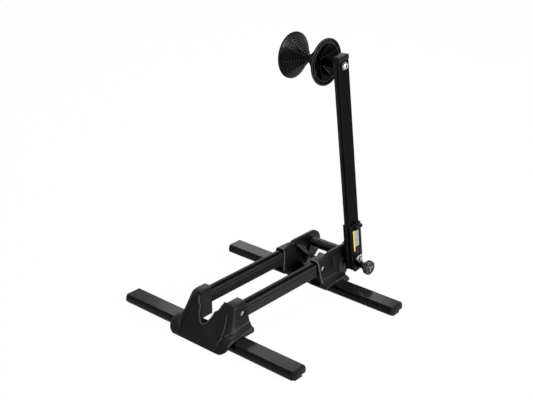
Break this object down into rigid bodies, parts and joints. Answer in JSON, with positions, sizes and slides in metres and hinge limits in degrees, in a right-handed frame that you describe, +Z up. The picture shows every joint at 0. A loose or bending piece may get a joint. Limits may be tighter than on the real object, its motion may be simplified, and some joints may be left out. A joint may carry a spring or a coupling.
{
  "type": "floor bike rack",
  "caption": "Floor stand for one bicycle wheel: crossbar feet, side rails in moulded brackets, and a sprung upright arm that ends in a V roller.",
  "frame": {"origin": "centre of the bounding box's base, on the floor", "axes": "+Z up, -Y towards the end where the wheel rolls in, +X towards the upright arm's side"},
  "size_m": [0.356, 0.339, 0.4305],
  "materials": {
    "black_alloy": "satin black anodised",
    "black_moulding": "satin black glass-filled nylon",
    "black_knob": "satin black moulding",
    "black_steel": "semi-gloss black",
    "spring_steel": "black oiled spring wire",
    "bright_zinc": "bright zinc plate",
    "rubber": "dull",
    "bush_nylon": "plain nylon"
  },
  "bodies": {
    "stand": {"front_foot_bar": "black_alloy", "rear_foot_bar": "black_alloy", "front_foot_caps": "black_moulding", "rear_foot_caps": "black_moulding", "front_foot_pads": "rubber", "rear_foot_pads": "rubber", "front_bracket": "black_moulding", "rear_bracket": "black_moulding", "left_rail": "black_alloy", "right_rail": "black_alloy", "front_rail_screws": "bright_zinc", "rear_rail_screws": "bright_zinc", "front_foot_bolts": "bright_zinc", "rear_foot_bolts": "bright_zinc", "foot_bolt_nuts": "bright_zinc", "pivot_washers": "bright_zinc", "lobe_bushes": "bush_nylon", "spring_sleeve": "black_steel", "torsion_spring": "spring_steel"},
    "arm": {"pivot_bolt": "bright_zinc", "pivot_nut": "bright_zinc", "arm_channel": "black_steel", "arm_tube": "black_alloy", "arm_top_cap": "black_moulding", "channel_rivets": "black_steel", "channel_bush": "bush_nylon", "side_peg": "black_moulding", "lock_housing": "black_steel", "lock_pin_spring": "spring_steel", "roller_axle": "bright_zinc", "roller_nut": "bright_zinc", "roller_spacer": "black_steel", "roller_washers": "bright_zinc"},
    "plunger": {"lock_pin": "bright_zinc", "lock_knob": "black_knob"},
    "roller": {"left_cone": "black_moulding", "right_cone": "black_moulding", "roller_bushes": "bush_nylon"}
  },
  "joints": [
    {"name": "arm_swing", "type": "hinge", "parent": "stand", "child": "arm", "pos_m": [0, 0.148, 0.053], "axis": [1, 0, 0], "range_deg": [-38, 82], "stiffness_Nm_per_rad": 3, "springref_deg": -1.26, "deforming": ["torsion_spring"]},
    {"name": "plunger_slide", "type": "slide", "parent": "arm", "child": "plunger", "axis": [1, 0, 0], "range_m": [-0.005, 0]},
    {"name": "roller_spin", "type": "hinge", "parent": "arm", "child": "roller", "pos_m": [0, 0.10015, 0.39345], "axis": [1, 0, 0], "continuous": true}
  ]
}
